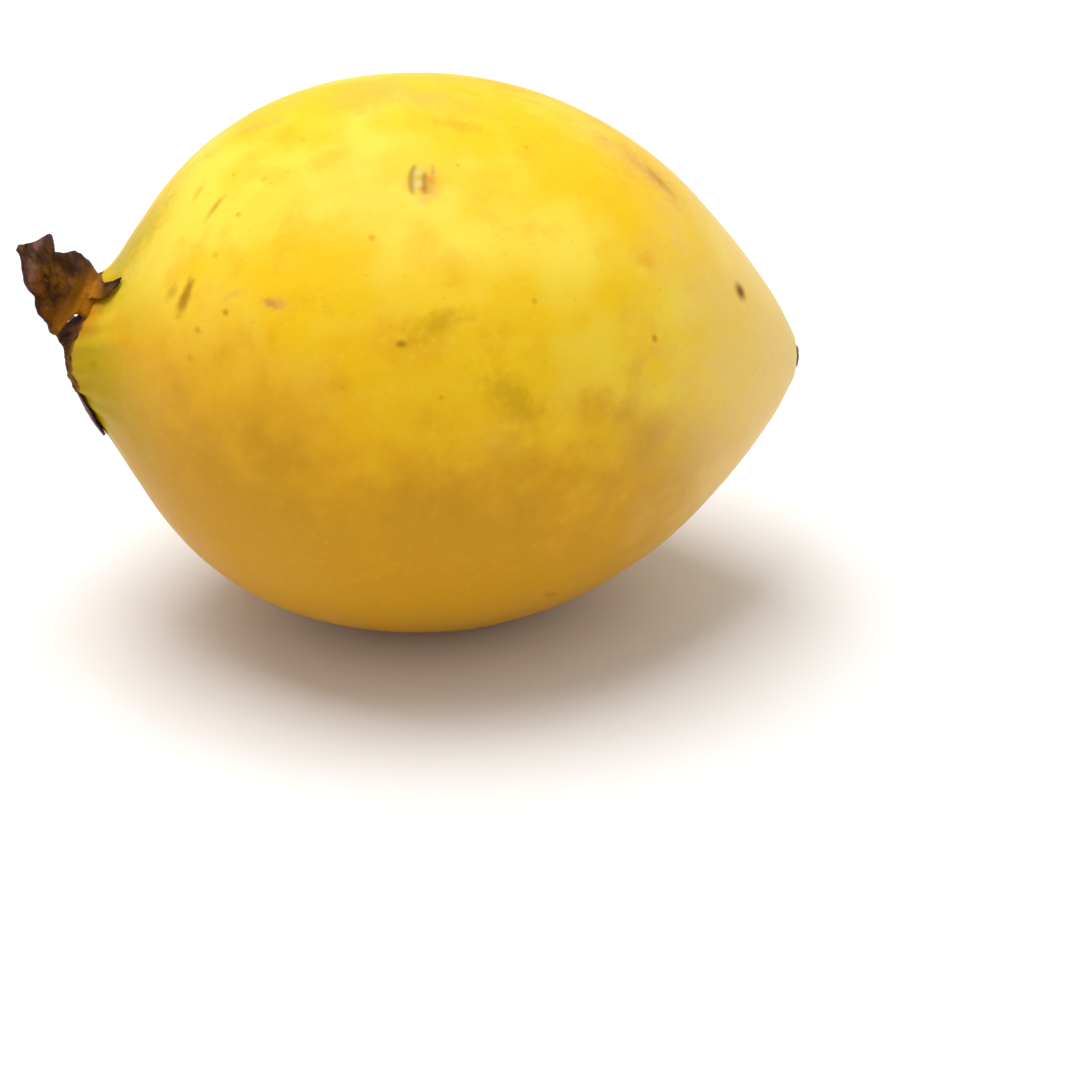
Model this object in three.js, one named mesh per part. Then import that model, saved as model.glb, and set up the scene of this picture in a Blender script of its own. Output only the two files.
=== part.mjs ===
// A whole ripe guava lying on its side, with the dried calyx still on its blossom end.
// Millimetres, +Z up. The long axis runs along X: calyx end at -X, stalk end at +X.
// Stations run along the fruit's own axis from the calyx rim towards the stalk.
// Angles run round that axis in degrees: 0 on top, 90 on the near side (-Y), 180 underneath.
import * as THREE from 'three';

// Driving dimensions
const fruitLength = 84;
const fruitDiameter = 66;
const restTilt = 4;          // degrees that the stalk end dips when the fruit lies still
const restDepth = 0.4;       // how far the resting spot is pressed flat
const rimRadius = 7.2;
const cupDepth = 2.4;
const lipReach = 3.7;        // how far the near side of the rim stands out past the rest
const lipAngle = 66;
const lipSpread = 44;
const topBulge = 2.2;        // the rim is wider on top, where the large sepal grows
const sepalThickness = 0.8;
const discRadius = 4.4;
const styleRadius = 0.45;
const stalkRadius = 1.4;
const rimFade = 3.2;         // how far from the rim its unevenness dies away
const gap = 0.65;            // left between the dried pieces and what they sit on

// Fineness of the faceting
const roundSides = 56;
const skinRings = 42;
const sepalColumns = 8;

const { degToRad, radToDeg } = THREE.MathUtils;

// Signed difference between two angles, -180 to 180
function turnFrom(angle, centre) {
  return THREE.MathUtils.euclideanModulo(angle - centre + 180, 360) - 180;
}

function bump(distance, width) {
  return Math.exp(-((distance / width) ** 2));
}

// Station and radius of the torn calyx rim at an angle
function rimAt(angle) {
  const lip = lipReach * bump(turnFrom(angle, lipAngle), lipSpread);
  return {
    station: 0.6 + 0.6 * Math.cos(degToRad(angle)) - lip,
    radius: rimRadius + topBulge * bump(turnFrom(angle, -15), 42),
  };
}

// A point from its station, radius and angle
function around(station, radius, angle) {
  const turn = degToRad(angle);
  return new THREE.Vector3(station, -radius * Math.sin(turn), radius * Math.cos(turn));
}

// Half outline of the skin as fractions of length and of half the diameter
function skinOutline() {
  const shape = [
    [0, 0.218], [0.024, 0.3], [0.06, 0.442], [0.107, 0.609], [0.167, 0.761], [0.244, 0.885],
    [0.339, 0.97], [0.452, 1], [0.565, 0.976], [0.679, 0.885], [0.798, 0.7], [0.893, 0.467],
    [0.958, 0.261], [0.99, 0.127], [0.999, 0.079],
  ];
  const points = shape.map(([along, out]) => (
    new THREE.Vector2(out * fruitDiameter / 2, along * fruitLength)
  ));
  return new THREE.SplineCurve(points).getPoints(skinRings);
}

// The shallow cup inside the calyx rim, from its middle out to the rim
function cupOutline() {
  return [
    [0, cupDepth], [2.4, cupDepth], [4.4, cupDepth - 0.2], [5.4, cupDepth - 1],
    [6, 0.3], [6.4, -0.25], [6.85, -0.3],
  ].map(([radius, station]) => new THREE.Vector2(radius, station));
}

// The dimple where the stalk came off, from its edge in to the axis
function stalkDimple() {
  return [
    [2, fruitLength - 0.2], [1.7, fruitLength - 0.8], [0, fruitLength - 1],
  ].map(([radius, station]) => new THREE.Vector2(radius, station));
}

// Slight lumpiness of the fruit: never quite round, with faint ridges behind the calyx
function lumpiness(station, angle) {
  const turn = degToRad(angle);
  const ends = Math.sin(Math.PI * THREE.MathUtils.clamp(station / fruitLength, 0, 1));
  const broad = 0.006 * Math.cos(2 * turn + 0.9) + 0.005 * Math.cos(3 * turn - 0.6 + station / 24);
  const ridges = 0.012 * Math.cos(5 * turn + 0.4) * Math.exp(-Math.abs(station - 5) / 9);
  return 1 + ends * broad + ridges * Math.min(1, Math.max(0, station / 4));
}

// Moves one point of the round blank to its place on the real, uneven fruit
function shapeFruitPoint(point) {
  const radius = Math.hypot(point.y, point.z);
  const angle = radToDeg(Math.atan2(-point.y, point.z));
  const rim = rimAt(angle);
  const nearRim = Math.max(0, 1 - Math.max(0, point.x) / rimFade) ** 2;
  const widening = (rim.radius - rimRadius) * nearRim * radius / rimRadius;
  const station = point.x + rim.station * nearRim;
  return around(station, (radius + widening) * lumpiness(point.x, angle), angle);
}

function fruitGeometry() {
  const profile = [...cupOutline(), ...skinOutline(), ...stalkDimple()];
  const geometry = new THREE.LatheGeometry(profile, roundSides);
  geometry.rotateZ(-Math.PI / 2);
  const places = geometry.attributes.position;
  const down = new THREE.Vector3(Math.sin(degToRad(restTilt)), 0, -Math.cos(degToRad(restTilt)));
  const point = new THREE.Vector3();
  let lowest = 0;
  for (let i = 0; i < places.count; i += 1) {
    const moved = shapeFruitPoint(point.fromBufferAttribute(places, i));
    places.setXYZ(i, moved.x, moved.y, moved.z);
    lowest = Math.max(lowest, moved.dot(down));
  }
  // The weight of the fruit presses one small spot of it flat
  for (let i = 0; i < places.count; i += 1) {
    point.fromBufferAttribute(places, i);
    const excess = point.dot(down) - (lowest - restDepth);
    if (excess > 0) {
      point.addScaledVector(down, -excess);
      places.setXYZ(i, point.x, point.y, point.z);
    }
  }
  geometry.computeVertexNormals();
  return geometry;
}

// A closed thin solid between two grids of points, both given as rows of the same length
function sheetGeometry(outer, inner) {
  const rows = outer.length;
  const columns = outer[0].length;
  const points = [...outer.flat(), ...inner.flat()];
  const faces = [];
  const at = (side, row, column) => side * rows * columns + row * columns + column;
  const quad = (a, b, c, d) => faces.push(a, b, c, a, c, d);
  for (let i = 0; i < rows - 1; i += 1) {
    for (let j = 0; j < columns - 1; j += 1) {
      quad(at(0, i, j), at(0, i + 1, j), at(0, i + 1, j + 1), at(0, i, j + 1));
      quad(at(1, i, j), at(1, i, j + 1), at(1, i + 1, j + 1), at(1, i + 1, j));
    }
    const last = columns - 1;
    quad(at(0, i, 0), at(1, i, 0), at(1, i + 1, 0), at(0, i + 1, 0));
    quad(at(0, i, last), at(0, i + 1, last), at(1, i + 1, last), at(1, i, last));
  }
  for (let j = 0; j < columns - 1; j += 1) {
    const last = rows - 1;
    quad(at(0, 0, j), at(0, 0, j + 1), at(1, 0, j + 1), at(1, 0, j));
    quad(at(0, last, j), at(1, last, j), at(1, last, j + 1), at(0, last, j + 1));
  }
  const geometry = new THREE.BufferGeometry();
  geometry.setFromPoints(points);
  geometry.setIndex(faces);
  geometry.computeVertexNormals();
  return geometry;
}

// One dried sepal. It leaves the rim at the angle `flare` out from the axis and bends by `curl`
// degrees per millimetre. Each row of its torn outline is [distance from the rim, first angle, last
// angle].
function sepalGeometry({ flare, curl, rows, shift = [0, 0] }) {
  const outer = [];
  const inner = [];
  for (const [reach, first, last] of rows) {
    const outerRow = [];
    const innerRow = [];
    for (let j = 0; j <= sepalColumns; j += 1) {
      const angle = first + (last - first) * j / sepalColumns;
      const rim = rimAt(angle);
      const start = degToRad(flare);
      const heading = degToRad(flare + curl * reach);
      const bend = degToRad(curl);
      const station = rim.station + shift[0] - (Math.sin(heading) - Math.sin(start)) / bend;
      const radius = rim.radius + shift[1] + (Math.cos(start) - Math.cos(heading)) / bend;
      const half = sepalThickness / 2;
      const out = [half * Math.sin(heading), half * Math.cos(heading)];
      outerRow.push(around(station + out[0], radius + out[1], angle));
      innerRow.push(around(station - out[0], radius - out[1], angle));
    }
    outer.push(outerRow);
    inner.push(innerRow);
  }
  return sheetGeometry(outer, inner);
}

const sepals = {
  // The large one, torn in a step on its upper side
  sepal_flap: {
    flare: 35,
    curl: 1.7,
    rows: [
      [0.5, -5, 28], [1.2, -8, 29], [1.8, -11, 33], [2.1, -13, 43], [2.5, -16, 53], [3.3, -20, 52],
      [4.2, -9, 50], [5.4, 2, 46], [6.9, 6, 40], [7.5, -6, 38], [8, -2, 36], [9.7, 10, 32],
      [11, 16, 28], [12.2, 20, 24],
    ],
  },
  // A small tip folded back on the skin
  sepal_tip: {
    flare: 144,
    curl: -2.6,
    shift: [-0.5, 0.8],
    rows: [[0.9, 7, 23], [1.5, 12, 25.5], [2.3, 15, 27.5], [3.1, 17.5, 27], [4, 20, 25.5], [4.9, 21.5, 23]],
  },
  // The low edge on the near side
  sepal_near: {
    flare: -6,
    curl: -9,
    shift: [0, -0.2],
    rows: [[0.5, 31, 112], [0.8, 34, 106], [1.1, 42, 92]],
  },
  // The dark one folded back along the neck underneath
  sepal_under: {
    flare: 118,
    curl: 4,
    shift: [-0.45, 0.55],
    rows: [[0.2, 98, 176], [0.7, 108, 176], [1.5, 128, 172], [2.6, 134, 166], [3.6, 142, 158]],
  },
  // The one on the far side, bent in over the cup
  sepal_far: {
    flare: -25,
    curl: -6,
    rows: [[0.5, 214, 302], [1.4, 217, 298], [2.3, 226, 291], [3, 238, 283], [3.5, 250, 270]],
  },
};

// The dried disc on the floor of the cup
function discGeometry() {
  const back = cupDepth - gap;
  const front = back - 0.7;
  const profile = [
    [0, back], [discRadius - 0.6, back], [discRadius - 0.2, back - 0.35], [discRadius - 0.5, front],
    [1.6, front - 0.05], [0, front],
  ].map(([radius, station]) => new THREE.Vector2(radius, station));
  const geometry = new THREE.LatheGeometry(profile.reverse(), 32);
  return geometry.rotateZ(-Math.PI / 2);
}

// What is left of the style: a thin withered stem that leans up from the disc
function styleGeometry() {
  const path = new THREE.CatmullRomCurve3([
    around(cupDepth - 1.8, 0.2, 180),
    around(cupDepth - 3, 0.9, 20),
    around(cupDepth - 4.2, 3.2, 21),
    around(cupDepth - 5, 5.7, 19),
  ]);
  const section = new THREE.Shape();
  section.absarc(0, 0, styleRadius, 0, 2 * Math.PI);
  return new THREE.ExtrudeGeometry(section, {
    steps: 10, curveSegments: 4, bevelEnabled: false, extrudePath: path,
  });
}

// The corky plug left in the dimple at the stalk end
function stalkGeometry() {
  const floor = fruitLength - gap;
  const profile = [
    [0, floor], [stalkRadius - 0.15, floor], [stalkRadius, floor + 0.4], [stalkRadius - 0.1, floor + 1],
    [stalkRadius - 0.4, floor + 1.2], [0.5, floor + 1], [0, floor + 0.95],
  ].map(([radius, station]) => new THREE.Vector2(radius, station));
  const geometry = new THREE.LatheGeometry(profile, 24);
  return geometry.rotateZ(-Math.PI / 2);
}

function skinMaterial() {
  return new THREE.MeshStandardMaterial({ color: 0xf8d43c, roughness: 0.42, metalness: 0 });
}

function driedMaterial(color) {
  return new THREE.MeshStandardMaterial({ color, roughness: 0.85, metalness: 0 });
}

function addPiece(group, name, geometry, material) {
  const piece = new THREE.Mesh(geometry, material);
  piece.name = name;
  group.add(piece);
}

// Everything is made about the fruit's own axis, which then dips towards the stalk end
const fruitAxis = new THREE.Group();
fruitAxis.rotation.y = degToRad(restTilt);
addPiece(fruitAxis, 'fruit', fruitGeometry(), skinMaterial());
for (const [name, sepal] of Object.entries(sepals)) {
  addPiece(fruitAxis, name, sepalGeometry(sepal), driedMaterial(0x6a4618));
}
addPiece(fruitAxis, 'calyx_disc', discGeometry(), driedMaterial(0x5a3a1c));
addPiece(fruitAxis, 'style_stub', styleGeometry(), driedMaterial(0xa89a94));
addPiece(fruitAxis, 'stalk_scar', stalkGeometry(), driedMaterial(0x7a5a34));

const guava = new THREE.Group();
guava.add(fruitAxis);
guava.updateMatrixWorld(true);

// The origin is under the middle of the whole thing, on the surface that it rests on
const extent = new THREE.Box3().setFromObject(guava, true);
const middle = extent.getCenter(new THREE.Vector3());
fruitAxis.position.set(-middle.x, -middle.y, -extent.min.z);
guava.updateMatrixWorld(true);

export default guava;
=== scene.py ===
import math

import bmesh
import bpy
import numpy as np
from mathutils import Matrix, Vector, noise


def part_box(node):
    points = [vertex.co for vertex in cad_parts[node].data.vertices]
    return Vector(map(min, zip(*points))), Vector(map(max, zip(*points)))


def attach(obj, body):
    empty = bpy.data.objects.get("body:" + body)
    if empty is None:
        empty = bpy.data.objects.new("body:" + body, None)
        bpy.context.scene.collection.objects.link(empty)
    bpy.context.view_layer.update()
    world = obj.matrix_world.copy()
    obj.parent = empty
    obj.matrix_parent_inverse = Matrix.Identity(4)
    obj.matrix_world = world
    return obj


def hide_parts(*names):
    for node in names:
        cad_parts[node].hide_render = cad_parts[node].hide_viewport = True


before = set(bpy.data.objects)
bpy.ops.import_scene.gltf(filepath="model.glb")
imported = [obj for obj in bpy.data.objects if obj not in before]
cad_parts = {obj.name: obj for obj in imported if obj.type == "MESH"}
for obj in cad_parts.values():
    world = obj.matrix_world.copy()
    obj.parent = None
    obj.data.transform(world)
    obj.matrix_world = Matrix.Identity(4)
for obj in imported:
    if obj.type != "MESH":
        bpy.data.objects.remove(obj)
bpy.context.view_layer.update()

mm = 0.001

# The fruit as grown. Sizes in mm, angles in degrees round its axis: 0 on top, 90 on the near side.
fruit = {
    "length": 84,
    "width": 66,
    "restTilt": 4,  # the stalk end dips
    "restDepth": 0.4,
    "rimRadius": 7.2,
    "rimFade": 3.2,
    "cupDepth": 2.4,
    "lip": {"reach": 3.75, "angle": 69, "spread": 48},
    "topBulge": {"reach": 2.2, "angle": -15, "spread": 42},
    "lumps": 0.26,
    "dents": 0.05,
    "puckers": 0.16,
    "cupRows": 35,
    "skinRows": 176,
    "columnsRound": 400,
}

# half outline of the skin: fraction of the length, fraction of half the width
skinOutline = [
    (0, 0.218), (0.024, 0.3), (0.06, 0.442), (0.107, 0.609), (0.167, 0.761), (0.244, 0.885),
    (0.339, 0.97), (0.452, 1), (0.565, 0.976), (0.679, 0.885), (0.798, 0.7), (0.893, 0.467),
    (0.958, 0.261), (0.99, 0.127), (0.999, 0.079),
]


def turnFrom(angle, centre):
    return (angle - centre + 180) % 360 - 180


def bump(distance, width):
    return np.exp(-(distance / width) ** 2)


def smooth(value, low, high):
    t = np.clip((value - low) / (high - low), 0, 1)
    return t * t * (3 - 2 * t)


def curveThrough(points, count):
    # a smooth curve through the points, the same number of steps between each two
    p = np.array(points, float)
    last = len(p) - 1
    t = np.linspace(0, last, count)
    i = np.minimum(t.astype(int), last - 1)
    w = (t - i)[:, None]
    before, after = p[np.maximum(i - 1, 0)], p[np.minimum(i + 2, last)]
    start, end = p[i], p[i + 1]
    leave, arrive = (end - before) / 2, (after - start) / 2
    return ((2 * start - 2 * end + leave + arrive) * w ** 3
            + (3 * end - 3 * start - 2 * leave - arrive) * w ** 2 + leave * w + start)


def rimAt(angle):
    # station and radius of the torn calyx rim
    lip, bulge = fruit["lip"], fruit["topBulge"]
    station = 0.6 + 0.6 * np.cos(np.radians(angle))
    station = station - lip["reach"] * bump(turnFrom(angle, lip["angle"]), lip["spread"])
    radius = fruit["rimRadius"] + bulge["reach"] * bump(turnFrom(angle, bulge["angle"]), bulge["spread"])
    return station, radius


def around(station, radius, angle):
    turn = np.radians(angle)
    return np.stack([station + 0 * turn, -radius * np.sin(turn), radius * np.cos(turn)], -1)


def noiseAt(points, size, seed=0):
    # soft noise, about -1 to 1, with lumps of that many mm
    shift = Vector((seed * 7.3, seed * 3.1, seed * 5.7))
    flat = points.reshape(-1, 3) / size
    values = [noise.noise(Vector(p) + shift) for p in flat.tolist()]
    return np.array(values).reshape(points.shape[:-1])


def tiltToRest(points):
    turn = math.radians(fruit["restTilt"])
    x, y, z = points[..., 0], points[..., 1], points[..., 2]
    return np.stack([x * math.cos(turn) + z * math.sin(turn), y,
                     -x * math.sin(turn) + z * math.cos(turn)], -1)


def lumpiness(station, angle):
    # never quite round, with faint ridges behind the calyx
    turn = np.radians(angle)
    ends = np.sin(math.pi * np.clip(station / fruit["length"], 0, 1))
    broad = 0.006 * np.cos(2 * turn + 0.9) + 0.005 * np.cos(3 * turn - 0.6 + station / 24)
    ridges = 0.012 * np.cos(5 * turn + 0.4) * np.exp(-np.abs(station - 5) / 9)
    return 1 + ends * broad + ridges * np.clip(station / 4, 0, 1)


def shapeFruit(station, radius, angle):
    # from the round blank to the real, uneven fruit
    rimStation, rimRadius = rimAt(angle)
    nearRim = np.clip(1 - np.clip(station, 0, None) / fruit["rimFade"], 0, None) ** 2
    widening = (rimRadius / fruit["rimRadius"] - 1) * nearRim * radius
    return station + rimStation * nearRim, (radius + widening) * lumpiness(station, angle)


def fruitProfile():
    # radius and station from the middle of the cup, over the rim and the skin, to the stalk end
    cup = fruit["cupDepth"]
    length, half = fruit["length"], fruit["width"] / 2
    inside = [(0, cup), (2.4, cup), (4.4, cup - 0.2), (5.4, cup - 1), (6.1, 0.4), (6.5, -0.35),
              (6.8, -0.55), (7.05, -0.35), (half * skinOutline[0][1], 0)]
    skin = [(out * half, along * length) for along, out in skinOutline]
    tipAlong, tipOut = skinOutline[-1]
    dimple = [(half * tipOut, length * tipAlong), (2.1, length - 0.15), (1.75, length - 0.7),
              (0, length - 0.95)]
    return np.concatenate([
        curveThrough(inside, fruit["cupRows"] + 1)[:-1],
        curveThrough(skin, fruit["skinRows"]),
        curveThrough(dimple, 14)[1:],
    ])


def gridMesh(name, points, attributes=None):
    # a mesh from a grid of points in mm; rows run along, columns run round and close
    rows, columns = points.shape[:2]
    i, j = np.meshgrid(np.arange(rows - 1), np.arange(columns), indexing="ij")
    k = (j + 1) % columns
    faces = np.stack([i * columns + j, i * columns + k, (i + 1) * columns + k, (i + 1) * columns + j], -1)
    mesh = bpy.data.meshes.new(name)
    mesh.from_pydata((points.reshape(-1, 3) * mm).tolist(), [], faces.reshape(-1, 4).tolist())
    for key, values in (attributes or {}).items():
        mesh.attributes.new(key, "FLOAT", "POINT").data.foreach_set("value", np.ravel(values).astype(float))
    return mesh


print("fruit body")


def makeFruit():
    profile = fruitProfile()
    columns = fruit["columnsRound"]
    angle = np.linspace(0, 360, columns, endpoint=False)[None, :]
    blankRadius, blankStation = profile[:, :1], profile[:, 1:]
    station, radius = shapeFruit(blankStation, blankRadius, angle)
    points = around(station, radius, angle)
    outward = around(0 * station, 1 + 0 * radius, angle)
    # relief fades out where the profile meets the axis
    ring = np.clip(radius / 3, 0, 1)
    relief = fruit["lumps"] * noiseAt(points, 17, 1) + fruit["dents"] * noiseAt(points, 5.5, 2)
    relief += 0.016 * noiseAt(points, 2.1, 3)
    onSkin = np.arange(len(profile))[:, None] >= fruit["cupRows"]
    fromRim = np.where(onSkin, blankStation, 0)
    pucker = np.sin(np.radians(angle) * 19 + 2.4 * noiseAt(points, 6, 4))
    relief += fruit["puckers"] * pucker * np.exp(-fromRim / 2.6) * onSkin
    stalkPucker = np.sin(np.radians(angle) * 13 + 1.5 * noiseAt(points, 4, 5))
    relief += 0.1 * stalkPucker * np.exp(-(fruit["length"] - blankStation) / 1.6) * onSkin
    points = points + outward * (relief * ring)[..., None]
    # the torn edge of the rim
    ragged = 0.34 * noiseAt(points, 1.6, 6) + 0.2 * noiseAt(points, 0.6, 7)
    points[..., 0] += ragged * bump(blankStation + 0.3, 0.55) * (blankRadius > 5.6)
    points = tiltToRest(points)
    # the weight of the fruit presses one small spot of it flat
    floor = points[..., 2].min() + fruit["restDepth"]
    points[..., 2] = np.maximum(points[..., 2], floor)
    steps = np.linalg.norm(np.diff(points, axis=0), axis=-1)
    travelled = np.concatenate([0 * steps[:1], np.cumsum(steps, axis=0)])
    marks = {
        "fromRim": travelled - travelled[fruit["cupRows"]],
        "station": station,
        "fromNear": np.abs(turnFrom(angle, 90)) + 0 * station,
        "fromFlap": np.abs(turnFrom(angle, 30)) + 0 * station,
        "fromTop": np.abs(turnFrom(angle, 0)) + 0 * station,
    }
    return points, marks


fruitPoints, fruitMarks = makeFruit()


def restPlace():
    # where the fruit's own axis frame lies in the part's frame
    low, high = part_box("fruit")
    mine = fruitPoints.reshape(-1, 3) * mm
    shift = (np.array(low) + np.array(high)) / 2 - (mine.min(0) + mine.max(0)) / 2
    shift[2] = low[2] - mine[:, 2].min()
    return shift


placeOfAxis = restPlace()


def inPart(points):
    # from mm about the fruit's axis to metres in the part's frame
    return tiltToRest(np.asarray(points, float)) * mm + placeOfAxis


def addPiece(name, mesh, material, node):
    piece = bpy.data.objects.new(name, mesh)
    bpy.context.scene.collection.objects.link(piece)
    mesh.materials.append(material)
    mesh.shade_smooth()
    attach(piece, "root")
    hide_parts(node)


class Wire:
    # a shader value that plain arithmetic works on
    def __init__(self, shader, socket):
        self.shader = shader
        self.socket = socket

    def __add__(self, other):
        return self.shader.calc("ADD", self, other)

    def __sub__(self, other):
        return self.shader.calc("SUBTRACT", self, other)

    def __rsub__(self, other):
        return self.shader.calc("SUBTRACT", other, self)

    def __mul__(self, other):
        return self.shader.calc("MULTIPLY", self, other)

    __radd__ = __add__
    __rmul__ = __mul__


class Shader:
    # one material and the nodes that feed it
    def __init__(self, name):
        self.material = bpy.data.materials.new(name)
        self.material.use_nodes = True
        self.tree = self.material.node_tree
        self.surface = self.tree.nodes["Principled BSDF"]
        self.spot = self.node("TexCoord", out="Object")

    def node(self, kind, settings=None, values=None, out=0):
        made = self.tree.nodes.new("ShaderNode" + kind)
        for key, value in (settings or {}).items():
            setattr(made, key, value)
        for key, value in (values or {}).items():
            self.feed(made.inputs[key], value)
        return Wire(self, made.outputs[out])

    def feed(self, socket, value):
        if isinstance(value, Wire):
            self.tree.links.new(value.socket, socket)
        else:
            socket.default_value = value

    def calc(self, operation, a, b=0.0):
        return self.node("Math", {"operation": operation}, {0: a, 1: b})

    def smooth(self, value, low, high):
        # 0 below low, 1 above high, soft between
        return self.node("MapRange", {"interpolation_type": "SMOOTHSTEP"}, {0: value, 1: low, 2: high})

    def mix(self, amount, a, b):
        # from colour a to colour b
        a, b = (c if isinstance(c, Wire) else (*c, 1) for c in (a, b))
        return self.node("Mix", {"data_type": "RGBA", "clamp_factor": True},
                         {0: amount, 6: a, 7: b}, out=2)

    def noise(self, size, detail=2.0, roughness=0.5, where=None):
        # size is in mm
        return self.node("TexNoise", None, {
            "Vector": where or self.spot, "Scale": 1 / (size * mm), "Detail": detail,
            "Roughness": roughness})

    def scaled(self, where, factors):
        return self.node("VectorMath", {"operation": "MULTIPLY"}, {0: where, 1: factors})

    def attribute(self, name):
        return self.node("Attribute", {"attribute_name": name}, out="Fac")

    def finish(self, colour, roughness, **uniform):
        self.feed(self.surface.inputs["Base Color"], colour)
        self.feed(self.surface.inputs["Roughness"], roughness)
        for key, value in uniform.items():
            self.surface.inputs[key].default_value = value
        return self.material

    def relief(self, height, depth, strength):
        # depth is in mm
        normal = self.node("Bump", None, {"Strength": strength, "Distance": depth * mm, "Height": height})
        self.feed(self.surface.inputs["Normal"], normal)


def tint(red, green, blue):
    # a colour as the eye names it, 0 to 255, to the light values a shader works in
    return tuple((c / 255 / 12.92) if c <= 10 else ((c / 255 + 0.055) / 1.055) ** 2.4
                 for c in (red, green, blue))


skin = {
    "yellow": tint(248, 202, 20),
    "pale": tint(254, 222, 74),
    "goldenAndShade": tint(234, 168, 2),
    "deepAndShade": tint(196, 140, 0),
    "olive": tint(176, 156, 16),
    "stalkEndAndRimLight": tint(251, 214, 130),
    "rimBrown": tint(112, 66, 10),
    "flapBase": tint(204, 142, 22),
    "cupBrown": tint(60, 32, 16),
    "cupTan": tint(124, 84, 44),
    "roughness": 0.42,
    "poreDepth": 0.05,
    "markKinds": {
        # colour, softness of the edge, raggedness of the edge
        "russet": (tint(176, 120, 0), 0.95, 0.8),
        "darkSpot": (tint(124, 74, 6), 0.9, 0.25),
        "fleck": (tint(214, 134, 0), 1.0, 0.3),
        "smudge": (tint(214, 184, 66), 1.0, 1.0),
        "scuff": (tint(220, 152, 84), 1.0, 1.0),
        "green": (tint(184, 166, 10), 1.0, 1.0),
        "warm": (tint(244, 176, 20), 1.0, 1.0),
        # the shade kind is painted shade, darkening the skin where it would lie in shadow
        "paintedShade": (tint(186, 140, 0), 1.0, 1.0),
    },
}

# marks on the skin: kind, strength, one end (station, angle), other end (station, angle), width
skinMarks = [
    ("russet", 0.85, (10.1, 44), (9.0, 52), 1.3),
    ("russet", 0.6, (10.2, 43), (9.8, 46), 0.9),
    ("green", 0.6, (1.5, 4), (8, -3), 8),
    ("russet", 0.45, (7.9, 45), (8.5, 43.5), 1.3),
    ("russet", 0.65, (12.4, 23.5), (14, 20), 1.1),
    ("russet", 0.3, (11.1, 13), (11.9, 10), 0.9),
    ("scuff", 0.6, (18.2, 53), (19.9, 54), 1.5),
    ("russet", 0.4, (18.3, 53), (19.0, 54), 0.9),
    ("fleck", 0.9, (13.8, 54.3), (13.9, 54.5), 0.8),
    ("fleck", 0.7, (10.8, 58.3), (10.9, 58.5), 0.8),
    ("fleck", 0.6, (29.75, 41), (29.85, 41.2), 0.8),
    ("fleck", 0.4, (12.85, 37.5), (12.95, 37.7), 0.9),
    ("fleck", 0.6, (15.4, 28), (15.5, 28.2), 0.7),
    ("darkSpot", 0.6, (32.6, 63), (33, 63), 0.9),
    ("fleck", 0.9, (62.4, 60.5), (62.5, 60.7), 0.8),
    ("fleck", 0.6, (47.8, 54), (47.9, 54.2), 0.7),
    ("russet", 0.45, (-0.2, 75), (-0.1, 75.2), 1.3),
    ("fleck", 0.5, (10.05, 66.5), (10.15, 66.7), 0.9),
    ("scuff", 0.35, (14, 50.5), (15.3, 50), 1.2),
    ("fleck", 0.4, (18.45, 20.25), (18.55, 20.45), 0.8),
    ("fleck", 0.35, (22.95, 12), (23.05, 12.2), 0.8),
    ("smudge", 0.6, (17.3, -4), (20.0, 0), 2.6),
    ("smudge", 0.6, (31, -5), (33.4, -4), 6),
    ("smudge", 0.6, (28.6, 2), (30.8, 4), 6),
    ("smudge", 0.55, (35, 2), (38, 4), 6),
    ("smudge", 0.35, (38, 3), (43, 6), 6),
    ("warm", 0.8, (39.2, 12), (42, 13), 2.8),
    ("scuff", 0.35, (58.6, 4), (62.4, 8), 7),
    ("scuff", 0.5, (63.4, 6), (66.2, 12), 5),
    ("russet", 0.4, (64.2, 6.5), (65.9, 11), 1.8),
    ("darkSpot", 0.95, (74.55, 35), (74.95, 37.4), 1.5),
    # painted shade on the near lower side; the first patch is partly the skin's own brown-olive smudge
    ("paintedShade", 0.5, (35, 60.5), (38, 58.5), 3.4),
    ("paintedShade", 0.5, (44, 71), (47, 76), 4.6),
    ("warm", 0.6, (61, 41), (62, 41), 1.8),
    # the far side and the underside
    ("russet", 0.6, (22, 232), (23.6, 235), 1.3),
    ("scuff", 0.6, (48, 300), (51, 303), 2.0),
    ("smudge", 0.5, (30, 262), (32, 266), 3.0),
    ("russet", 0.5, (58, 226), (59.4, 223), 1.1),
    ("smudge", 0.45, (14, 280), (16, 283), 2.4),
    ("fleck", 0.8, (41.1, 248.5), (41.2, 248.7), 0.9),
    # a broad painted shade patch on the underside
    ("paintedShade", 0.4, (36, 180), (42, 190), 8.0),
    ("darkSpot", 0.7, (69, 270), (69.5, 272), 0.9),
    ("scuff", 0.5, (27, 140), (29.5, 144), 2.4),
    ("russet", 0.55, (52, 128), (53.2, 131), 1.2),
]


def skinPoint(station, angle):
    # the place in mm on the finished skin at a station and an angle
    count = fruit["columnsRound"]
    rows = slice(fruit["cupRows"], fruit["cupRows"] + fruit["skinRows"])
    whole, part = divmod(angle / 360 * count, 1)
    ends = []
    for column in (int(whole) % count, int(whole + 1) % count):
        stations = fruitMarks["station"][rows, column]
        ends.append([np.interp(station, stations, fruitPoints[rows, column, k]) for k in range(3)])
    return (1 - part) * np.array(ends[0]) + part * np.array(ends[1])


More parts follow.
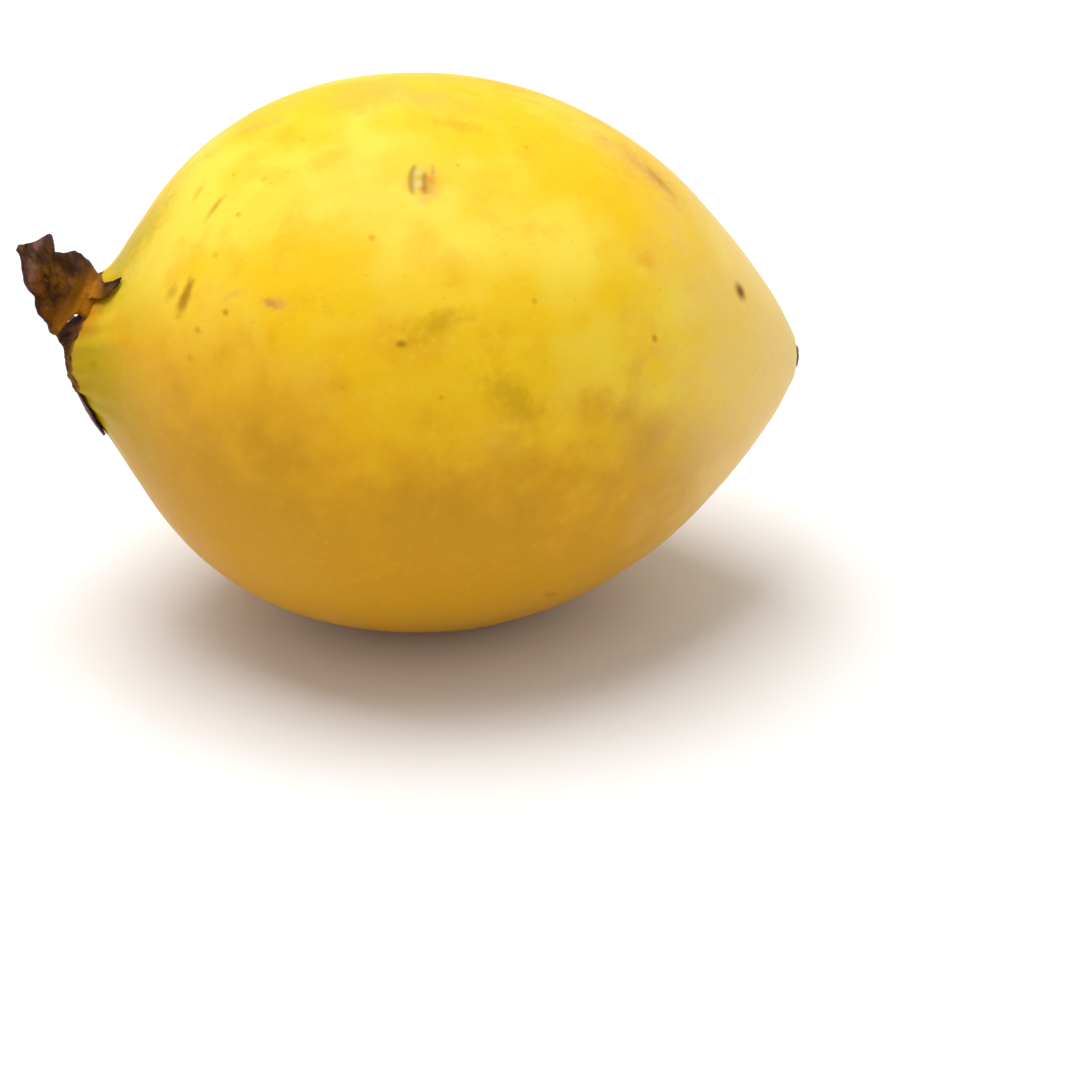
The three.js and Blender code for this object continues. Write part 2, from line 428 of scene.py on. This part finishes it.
def markSpace(shader, start, end, width):
    # coordinates of a mark lying on the skin from start to end: 1 away from its middle is its edge
    a, b = (Vector(skinPoint(*place)) * mm + Vector(placeOfAxis) for place in (start, end))
    middle = (a + b) / 2
    along = (b - a).normalized()
    centre = Vector(placeOfAxis) + Vector((middle.x - placeOfAxis[0], 0, 0))
    outward = (middle - centre).normalized()
    outward = (outward - along * outward.dot(along)).normalized()
    across = outward.cross(along)
    turned = Matrix((along, across, outward)).transposed().to_euler()
    reach = ((b - a).length / 2 + width * mm / 2, width * mm / 2, 4 * mm)
    return shader.node("Mapping", {"vector_type": "TEXTURE"}, {
        "Vector": shader.spot, "Location": middle, "Rotation": turned, "Scale": reach})


def farOut(shader, space):
    return shader.node("VectorMath", {"operation": "LENGTH"}, {0: space}, out="Value")


# the healed scab: corky and pale, with soft cracks and an orange middle
scab = {
    "place": (35.85, 28.2), "size": 3.7,
    "cork": tint(222, 200, 104),
    "crack": tint(148, 112, 0),
    "orange": tint(226, 146, 0),
    "halo": tint(240, 190, 84),
}


def addScab(shader, colour, wander):
    station, angle = scab["place"]
    space = markSpace(shader, (station - 0.05, angle), (station + 0.05, angle), scab["size"])
    along = shader.node("SeparateXYZ", None, {0: space}, out="X")
    down = 0 - Wire(shader, along.socket.node.outputs["Y"])

    def spot(x, y, size):
        centre = shader.node("VectorMath", {"operation": "SUBTRACT"}, {0: space, 1: (x, -y, 0)})
        return 1 - shader.smooth(farOut(shader, centre) + wander * 0.2, 0, size)

    def crack(offset, top, bottom, width):
        ends = shader.smooth(down + wander * 0.2, top - 0.3, top + 0.3)
        ends *= 1 - shader.smooth(down + wander * 0.2, bottom - 0.3, bottom + 0.3)
        return ends * (1 - shader.smooth(shader.calc("ABSOLUTE", offset + wander * 0.06), 0, width))

    for x, y, size in ((-0.1, 1.5, 0.7), (0.45, 0.9, 0.6), (0.62, -0.7, 0.5)):
        colour = shader.mix(spot(x, y, size) * 0.6, colour, scab["halo"])
    colour = shader.mix(spot(-0.1, 0.1, 1.5) * 0.5, colour, scab["crack"])
    pale = shader.calc("MAXIMUM", spot(-0.28, -0.64, 0.6), spot(-0.32, 0.32, 0.7))
    colour = shader.mix(pale, colour, scab["cork"])
    orange = shader.calc("MAXIMUM", spot(0.3, 0, 0.6), spot(0.05, 0.74, 0.5))
    colour = shader.mix(orange, colour, scab["orange"])
    left = crack(along + 0.72 - down * down * 0.15 + down * 0.1, -1.1, 1.1, 0.32)
    right = crack(along - 0.64, -1.2, -0.3, 0.22)
    middle = crack(along - 0.1 + down * 0.09, -0.5, 0.9, 0.24)
    cracks = shader.calc("MAXIMUM", left * 0.85, shader.calc("MAXIMUM", right * 0.4, middle * 0.8))
    return shader.mix(cracks * 0.75, colour, scab["crack"]), cracks


def scatter(shader, spacing, core, rim, rarity, grain):
    # round dots in some cells of a net with that spacing in mm
    cells = {"Vector": shader.spot, "Scale": 1 / (spacing * mm)}
    net = shader.node("TexVoronoi", None, cells, out="Distance")
    colour = Wire(shader, net.socket.node.outputs["Color"])
    chosen = shader.node("SeparateColor", None, {0: colour})
    dot = 1 - shader.smooth(net + (grain - 0.5) * 0.08, core, rim)
    return dot * shader.smooth(chosen, rarity, rarity + 0.1)


def skinMaterial():
    shader = Shader("guavaSkin")
    station, fromRim = shader.attribute("station"), shader.attribute("fromRim")
    fromNear, fromTop = shader.attribute("fromNear"), shader.attribute("fromTop")
    broad = shader.noise(16, 2)
    middling = shader.noise(5, 3, 0.55)
    fine = shader.noise(0.9, 3, 0.6)
    grain = shader.noise(0.32, 2, 0.6)
    colour = shader.mix(shader.smooth(broad, 0.42, 0.66), skin["yellow"], skin["pale"])
    colour = shader.mix(shader.smooth(middling, 0.5, 0.72) * 0.32, colour, skin["goldenAndShade"])
    # streaks that run from end to end
    streak = shader.noise(3.2, 3, 0.6, shader.scaled(shader.spot, (0.16, 1, 1)))
    colour = shader.mix(shader.smooth(streak, 0.5, 0.75) * 0.25, colour, skin["pale"])
    # more golden low down, and from higher up towards the calyx: partly the fruit's own colour, partly
    # painted shade that darkens its lower side
    lean = (34 - station) * 0.5
    low = shader.smooth(fromTop + lean + (broad - 0.5) * 60 + (middling - 0.5) * 24, 46, 96)
    colour = shader.mix(low * 0.85, colour, skin["goldenAndShade"])
    # painted shade: the lowest side is darkened further still, on top of its own deeper colour
    lowestDeepAndShade = shader.smooth(fromTop + (broad - 0.5) * 50 + (middling - 0.5) * 40, 68, 112)
    colour = shader.mix(lowestDeepAndShade * 0.8, colour, skin["deepAndShade"])
    # the stalk end is pale and dull, partly its own colour and partly painted rim light where light grazes
    # that end
    stalk = shader.smooth(station + (middling - 0.5) * 16, 58, 84)
    colour = shader.mix(stalk * 0.85, colour, skin["stalkEndAndRimLight"])
    # still olive green behind the calyx, most of all on the near side
    side = 0.55 + 0.45 * (1 - shader.smooth(fromNear, 20, 90))
    olive = (1 - shader.smooth(station + (middling - 0.5) * 10 + (broad - 0.5) * 6, -3, 9)) * side
    colour = shader.mix(olive * 0.75, colour, skin["olive"])
    # fine mottling
    colour = shader.mix(shader.smooth(fine, 0.52, 0.75) * (0.24 - low * 0.16), colour, skin["pale"])
    colour = shader.mix(shader.smooth(grain, 0.6, 0.8) * 0.16, colour, skin["goldenAndShade"])
    # marks, each with an uneven edge
    wander = (fine - 0.5) * 1.2 + (grain - 0.5) * 0.3 + (shader.noise(2.4, 2) - 0.5) * 1.1
    scarred = None
    for kind, strength, start, end, width in skinMarks:
        markColour, softness, ragged = skin["markKinds"][kind]
        far = farOut(shader, markSpace(shader, start, end, width)) + wander * ragged
        mask = (1 - shader.smooth(far, 1 - softness, 1 + softness * 0.5)) * strength
        colour = shader.mix(mask, colour, markColour)
        if kind in ("russet", "darkSpot", "scuff"):
            scarred = mask if scarred is None else shader.calc("MAXIMUM", scarred, mask)
    colour, cracks = addScab(shader, colour, wander)
    # small brown flecks all over: a few cells of a net each hold one
    flecks = scatter(shader, 4.2, 0.03, 0.1, 0.8, grain)
    colour = shader.mix(flecks * 0.45, colour, skin["markKinds"]["fleck"][0])
    # faint breathing pores, closer together
    pores = scatter(shader, 1.5, 0.06, 0.2, 0.35, grain)
    colour = shader.mix(pores * 0.16, colour, skin["deepAndShade"])
    # orange brown where the large sepal grows out of the skin
    flapBase = 1 - shader.smooth(shader.attribute("fromFlap") + (middling - 0.5) * 16, 12, 32)
    flapBase *= 1 - shader.smooth(fromRim + (fine - 0.5) * 1.4 + (middling - 0.5) * 2.4, 0.4, 3.6)
    colour = shader.mix(flapBase * 0.9, colour, skin["flapBase"])
    # the very edge of the rim is dried brown, and the cup inside it is darker still
    rim = 1 - shader.smooth(fromRim + (fine - 0.5) * 0.7, 0.1, 0.45)
    colour = shader.mix(rim * 0.85, colour, skin["rimBrown"])
    inside = 1 - shader.smooth(fromRim, -0.5, 0.0)
    patches = shader.smooth(fine + (middling - 0.5) * 0.6, 0.42, 0.68)
    colour = shader.mix(inside, colour, shader.mix(patches, skin["cupBrown"], skin["cupTan"]))
    roughness = skin["roughness"] + (middling - 0.5) * 0.16 + rim * 0.3 + scarred * 0.2
    shader.relief(grain * 0.4 + fine * 0.5 - scarred - cracks * 1.5 - pores * 0.3, skin["poreDepth"], 0.8)
    return shader.finish(colour, roughness, **{
        "Subsurface Weight": 0.15, "Subsurface Radius": (1.0, 0.55, 0.1), "Subsurface Scale": 2.0 * mm,
        "Specular IOR Level": 0.15, "Coat Weight": 0.04, "Coat Roughness": 0.28})


fruitMesh = gridMesh("fruit_skin", fruitPoints, fruitMarks)
fruitMesh.transform(Matrix.Translation(placeOfAxis))
addPiece("fruit_skin", fruitMesh, skinMaterial(), "fruit")

print("dried calyx")

# Each sepal leaves the rim at the angle flare, out from the axis, and bends by curl degrees a mm.
# rows: distance from the rim, angle of its first edge, angle of its last edge
# shift: where its root lies from the rim, along the axis and out from it
sepals = {
    "sepal_flap": {
        "flare": 35, "curl": 1.7, "thick": 0.7, "wrinkle": 0.3, "fray": 0.28, "seed": 11,
        "rows": [(-0.9, -9, 38), (-0.2, -7, 36), (0.5, -5, 34), (1.2, -8, 34), (1.8, -11, 37),
                 (2.1, -13, 44), (2.5, -17, 53), (3.3, -21, 52), (4.2, -9, 50), (5.4, 2, 46),
                 (6.9, 6, 40), (7.5, -6, 38.5), (8, -3, 37), (9.7, 9, 32), (11, 15, 28), (12.5, 20.5, 22)],
    },
    "sepal_tip": {
        "flare": 144, "curl": -2.6, "thick": 0.5, "wrinkle": 0.1, "fray": 0.5, "seed": 12,
        "shift": (-0.42, 0.62),
        "rows": [(-0.4, 5, 22), (0.4, 6, 22), (0.9, 8, 24), (1.5, 12, 26), (2.3, 15, 28),
                 (3.1, 17.5, 27), (4, 19, 25), (4.7, 20, 22)],
    },
    "sepal_near": {
        "flare": -6, "curl": -9, "thick": 0.5, "wrinkle": 0.1, "fray": 0.7, "seed": 13,
        "shift": (0, -0.16),
        "rows": [(-0.8, 28, 76), (0, 30, 73), (0.3, 31, 70), (0.6, 32, 66), (0.9, 32, 61),
                 (1.3, 33, 58), (1.8, 36, 55), (2.4, 41, 50)],
    },
    "sepal_under": {
        "flare": 121, "curl": 2, "thick": 0.5, "wrinkle": 0.1, "fray": 0.8, "seed": 14,
        "shift": (-0.14, 0.12),
        "rows": [(-0.6, 104, 178), (0.2, 107, 176), (0.6, 114, 176), (1.3, 132, 172), (2.2, 138, 166),
                 (3, 144, 158)],
    },
    "sepal_far": {
        "flare": -25, "curl": -6, "thick": 0.6, "wrinkle": 0.2, "fray": 0.9, "seed": 15,
        "rows": [(-0.7, 212, 304), (0.5, 214, 302), (1.4, 217, 298), (2.3, 226, 291), (3, 238, 283),
                 (3.5, 250, 270)],
    },
}


def sepalGrid(spec, rows=72, columns=56):
    # the middle surface of one sepal, its outward direction and half thickness,
    # and how far along and across it each point lies, from 0 to 1
    table = np.array(spec["rows"], float)
    reach = np.linspace(table[0, 0], table[-1, 0], rows)[:, None]
    across = np.linspace(0, 1, columns)[None, :]
    first = np.interp(reach[:, 0], table[:, 0], table[:, 1])[:, None]
    last = np.interp(reach[:, 0], table[:, 0], table[:, 2])[:, None]
    seed = spec["seed"]
    ladder = np.stack([reach, 0 * reach, 0 * reach], -1)
    torn = smooth(reach, 0.2, 1.5) * spec["fray"] * 3
    first = first + torn * (noiseAt(ladder, 1.3, seed) + 0.5 * noiseAt(ladder, 0.4, seed + 1))
    last = last + torn * (noiseAt(ladder, 1.3, seed + 2) + 0.5 * noiseAt(ladder, 0.4, seed + 3))
    last = np.maximum(last, first + 2)
    angle = first + (last - first) * across
    # the end is torn too
    tip = smooth(reach, table[-1, 0] - 1.5, table[-1, 0])
    reach = reach + 0.25 * tip * noiseAt(around(reach, 8, angle), 0.8, seed)
    rimStation, rimRadius = rimAt(angle)
    shift = spec.get("shift", (0, 0))
    start, bend = math.radians(spec["flare"]), math.radians(spec["curl"])
    heading = start + bend * reach
    station = rimStation + shift[0] - (np.sin(heading) - math.sin(start)) / bend
    radius = rimRadius + shift[1] + (math.cos(start) - np.cos(heading)) / bend
    middle = around(station, radius, angle)
    out = around(np.sin(heading), np.cos(heading), angle)
    # veins and wrinkles run along it; the edges roll a little
    edge = np.abs(across - 0.5) * 2
    length = table[-1, 0]
    free = smooth(reach, 0.3, 2.5)
    vein = np.sin(angle / 3.1 + 1.7 * noiseAt(middle, 3.0, seed + 4))
    crumple = noiseAt(middle, 2.4, seed + 5) + 0.5 * noiseAt(middle, 1.0, seed + 6)
    wave = spec["wrinkle"] * (0.25 * vein + crumple) * free
    roll = spec["wrinkle"] * 0.6 * edge ** 3 * np.sin(reach * 1.9 + seed) * free
    middle = middle + out * (wave + roll)[..., None]
    thin = 1 - 0.55 * np.maximum(edge ** 2, smooth(reach, length * 0.45, length))
    half = spec["thick"] / 2 * thin * (1 + 0.25 * noiseAt(middle, 0.8, seed + 7))
    return middle, out, half, reach / length, across + 0 * reach


def sheetMesh(name, spec):
    # a closed thin leaf: the outer face runs on round the edge into the inner face
    middle, out, half, along, across = sepalGrid(spec)
    loop = np.concatenate([middle + out * half[..., None], (middle - out * half[..., None])[:, ::-1]], 1)
    alongLoop = np.concatenate([along, along[:, ::-1]], 1)
    acrossLoop = np.concatenate([across, across[:, ::-1]], 1)
    mesh = gridMesh(name, inPart(loop) / mm, {"along": alongLoop, "across": acrossLoop})
    closeEnds(mesh, loop.shape)
    return mesh


def closeEnds(mesh, shape):
    # joins the outer and inner face at the root and at the torn end
    rows, columns = shape[:2]
    work = bmesh.new()
    work.from_mesh(mesh)
    work.verts.ensure_lookup_table()
    half = columns // 2
    for row, turned in ((0, True), (rows - 1, False)):
        ring = [work.verts[row * columns + j] for j in range(columns)]
        for j in range(half - 1):
            corners = [ring[j], ring[j + 1], ring[columns - 2 - j], ring[columns - 1 - j]]
            work.faces.new(corners[::-1] if turned else corners)
    bmesh.ops.recalc_face_normals(work, faces=work.faces)
    work.to_mesh(mesh)
    work.free()


dried = {
    "dark": tint(46, 12, 2),
    "brown": tint(104, 60, 0),
    "ochre": tint(138, 82, 4),
    "base": tint(176, 114, 8),
    "grey": tint(128, 90, 84),
    "edge": tint(56, 22, 14),
    "veinDepth": 0.3,
}

# base and grey: where the orange root ends and the grey starts, as a part of its length
# orange and worn: how strong the root's orange and the torn sides' dark brown are
sepalLooks = {
    "sepal_flap": {"orange": 0.95, "base": 0.34, "grey": 0.68, "worn": 0.6},
    "sepal_tip": {"orange": 0.95, "base": 0.7, "grey": 1.3, "worn": 0.2},
    "sepal_near": {"orange": 0.15, "base": 0.3, "grey": 0.9, "worn": 0.6},
    "sepal_under": {"orange": 0.3, "base": 0.3, "grey": 1.3, "worn": 0.5},
    "sepal_far": {"orange": 0.4, "base": 0.2, "grey": 0.8, "worn": 0.6},
}


def driedMaterial(name, look):
    # papery brown sepal, orange where it leaves the fruit, dark along its torn sides, greyish at its tip
    shader = Shader(name)
    along, across = shader.attribute("along"), shader.attribute("across")
    blotch = shader.noise(2.6, 4, 0.6)
    fine = shader.noise(0.5, 3, 0.65)
    fibre = shader.noise(0.4, 3, 0.6, shader.scaled(shader.spot, (0.3, 1, 0.4)))
    colour = shader.mix(shader.smooth(blotch, 0.38, 0.62), dried["dark"], dried["brown"])
    colour = shader.mix(shader.smooth(fibre, 0.5, 0.72) * 0.45, colour, dried["ochre"])
    # the upper side is the darker one
    upper = 1 - shader.smooth(across + (blotch - 0.5) * 0.7, 0.1, 0.5)
    colour = shader.mix(upper * 0.85, colour, dried["dark"])
    base = 1 - shader.smooth(along + (blotch - 0.5) * 0.3 + (0.6 - across) * 0.3, 0, look["base"])
    colour = shader.mix(base * look["orange"], colour, dried["base"])
    grey = shader.smooth(along + (blotch - 0.5) * 0.25, look["grey"], look["grey"] + 0.12)
    colour = shader.mix(grey * shader.smooth(blotch, 0.3, 0.6) * 0.85, colour, dried["grey"])
    edge = shader.calc("ABSOLUTE", across - 0.5) * 2
    worn = shader.smooth(edge + (fine - 0.5) * 0.25, 0.84, 1.0)
    colour = shader.mix(worn * look["worn"], colour, dried["edge"])
    colour = shader.mix(shader.smooth(fine, 0.56, 0.76) * 0.4, colour, dried["dark"])
    roughness = 0.55 + (fine - 0.5) * 0.3
    shader.relief(fibre * 0.6 + fine * 0.4, dried["veinDepth"], 0.9)
    return shader.finish(colour, roughness, **{"Specular IOR Level": 0.22})


for sepalName, sepalSpec in sepals.items():
    material = driedMaterial("dry_" + sepalName, sepalLooks[sepalName])
    leafMesh = sheetMesh("leaf_" + sepalName, sepalSpec)
    addPiece("leaf_" + sepalName, leafMesh, material, sepalName)


def ringMesh(name, profile, columns, wobble, seed):
    # a turned shape about the fruit's axis; profile is (radius, station) from axis to axis
    outline = curveThrough(profile, 46)
    angle = np.linspace(0, 360, columns, endpoint=False)[None, :]
    points = around(outline[:, 1:], outline[:, :1], angle)
    ring = np.clip(outline[:, :1] / 0.8, 0, 1)
    drift = noiseAt(points, 1.3, seed) + 0.5 * noiseAt(points, 0.5, seed + 1)
    points = points + around(0 * drift, wobble * drift * ring, angle)
    points[..., 0] += wobble * noiseAt(points, 0.9, seed + 2) * ring
    return gridMesh(name, inPart(points) / mm)


def corkMaterial(name, dark, light, size, depth, pitSpacing=0.3):
    shader = Shader(name)
    blotch = shader.noise(size, 4, 0.6)
    fine = shader.noise(size / 5, 3, 0.7)
    colour = shader.mix(shader.smooth(blotch, 0.35, 0.65), dark, light)
    colour = shader.mix(shader.smooth(fine, 0.55, 0.75) * 0.6, colour, dark)
    # small pits, such as the stamens leave
    pits = scatter(shader, pitSpacing, 0.1, 0.34, -1, fine)
    colour = shader.mix(pits * 0.7, colour, dark)
    shader.relief(blotch * 0.5 + fine * 0.5 - pits, depth, 0.9)
    return shader.finish(colour, 0.8 + (fine - 0.5) * 0.2, **{"Specular IOR Level": 0.3})


cupBack = fruit["cupDepth"] - 0.1
disc = {
    "radius": 5.2,
    "front": fruit["cupDepth"] - 1.35,
    "dark": tint(44, 24, 12),
    "light": tint(128, 88, 48),
}
discProfile = [(0, disc["front"] + 0.1), (1, disc["front"]), (2.6, disc["front"] + 0.1),
               (disc["radius"] - 0.8, disc["front"] - 0.1), (disc["radius"] - 0.2, disc["front"] + 0.3),
               (disc["radius"] - 0.9, cupBack), (0, cupBack)]
discMesh = ringMesh("disc_in_cup", discProfile, 96, 0.22, 21)
discCork = corkMaterial("dry_disc", disc["dark"], disc["light"], 1.6, 0.3, 0.62)
addPiece("disc_in_cup", discMesh, discCork, "calyx_disc")

plug = {"dark": tint(86, 58, 30), "light": tint(150, 116, 70)}
plugFloor = fruit["length"] - 0.75
plugProfile = [(0, plugFloor), (1.2, plugFloor), (1.45, plugFloor + 0.5), (1.35, plugFloor + 1.05),
               (0.95, plugFloor + 1.3), (0.5, plugFloor + 1.05), (0, plugFloor + 1)]
plugMesh = ringMesh("plug_at_stalk", plugProfile, 72, 0.12, 31)
plugCork = corkMaterial("stalk_cork", plug["dark"], plug["light"], 0.9, 0.2)
addPiece("plug_at_stalk", plugMesh, plugCork, "stalk_scar")

style = {"dark": tint(120, 98, 84), "light": tint(206, 194, 198)}


def styleMesh(name):
    # a thin withered stem on a curve, flattened and swollen a little at its tip
    cup = fruit["cupDepth"]
    path = curveThrough([
        around(np.array(cup - 1.2), 0.2, 180), around(np.array(cup - 3), 0.9, 20),
        around(np.array(cup - 4.2), 3.2, 21), around(np.array(cup - 5), 5.7, 19),
    ], 48)
    along = np.gradient(path, axis=0)
    along /= np.linalg.norm(along, axis=1, keepdims=True)
    side = np.cross(along, (0, 1, 0))
    side /= np.linalg.norm(side, axis=1, keepdims=True)
    other = np.cross(along, side)
    t = np.linspace(0, 1, len(path))[:, None]
    thick = 0.36 + 0.12 * np.sin(t * 17) * 0.4 + 0.14 * smooth(t, 0.8, 0.95)
    thick = thick * np.sqrt(np.clip(1 - smooth(t, 0.93, 1.0), 0.02, 1))
    turn = np.linspace(0, 2 * math.pi, 24, endpoint=False)[None, :]
    ring = (side[:, None] * np.cos(turn)[..., None] + other[:, None] * np.sin(turn)[..., None] * 0.8)
    points = path[:, None] + ring * thick[..., None]
    points = np.concatenate([path[:1, None] + 0 * ring[:1], points, path[-1:, None] + 0 * ring[:1]])
    points = points + ring[[0, *range(len(path)), -1]] * (0.05 * noiseAt(points, 0.5, 41))[..., None]
    return gridMesh(name, inPart(points) / mm)


stemMesh = styleMesh("withered_style")
stemSkin = corkMaterial("dry_style", style["dark"], style["light"], 1.1, 0.12)
addPiece("withered_style", stemMesh, stemSkin, "style_stub")

print("floor, light and camera")

studio = {
    "floorColour": (0.92, 0.92, 0.92),
    "world": 0.5,
    "softbox": {"place": (-0.12, 0.12, 0.9), "side": 0.7, "power": 7.8},
}


def addFloor():
    mesh = bpy.data.meshes.new("floor")
    side = 3
    corners = [(-side, -side, 0), (side, -side, 0), (side, side, 0), (-side, side, 0)]
    mesh.from_pydata(corners, [], [(0, 1, 2, 3)])
    floor = bpy.data.objects.new("floor", mesh)
    bpy.context.scene.collection.objects.link(floor)
    shader = Shader("pale_floor")
    mesh.materials.append(shader.finish((*studio["floorColour"], 1), 0.7, **{"Specular IOR Level": 0.2}))


def addLight(name, spec):
    lamp = bpy.data.lights.new(name, "AREA")
    lamp.size = spec["side"]
    lamp.energy = spec["power"]
    light = bpy.data.objects.new(name, lamp)
    bpy.context.scene.collection.objects.link(light)
    light.location = spec["place"]
    aim = Vector((0, 0, 0.03)) - light.location
    light.rotation_euler = aim.to_track_quat("-Z", "Y").to_euler()


def addWorld():
    world = bpy.data.worlds.new("studio")
    bpy.context.scene.world = world
    world.use_nodes = True
    sky = world.node_tree.nodes["Background"]
    sky.inputs["Color"].default_value = (1, 1, 1, 1)
    sky.inputs["Strength"].default_value = studio["world"]


view = {
    "azimuth": -7.5,
    "elevation": 28,
    "distance": 0.515,
    "lens": 140.5,
    "aim": (0.0151, 0.0001, 0.0066),
}


def addCamera():
    lens = bpy.data.cameras.new("camera")
    lens.lens = view["lens"]
    lens.sensor_width = 36
    lens.clip_start = 0.01
    camera = bpy.data.objects.new("camera", lens)
    bpy.context.scene.collection.objects.link(camera)
    turn, rise = math.radians(view["azimuth"]), math.radians(view["elevation"])
    back = Vector((math.sin(turn) * math.cos(rise), -math.cos(turn) * math.cos(rise), math.sin(rise)))
    camera.location = Vector(view["aim"]) + back * view["distance"]
    camera.rotation_euler = (-back).to_track_quat("-Z", "Y").to_euler()
    bpy.context.scene.camera = camera


addFloor()
addWorld()
addLight("softbox", studio["softbox"])
addCamera()
bpy.context.scene.view_settings.view_transform = "Standard"
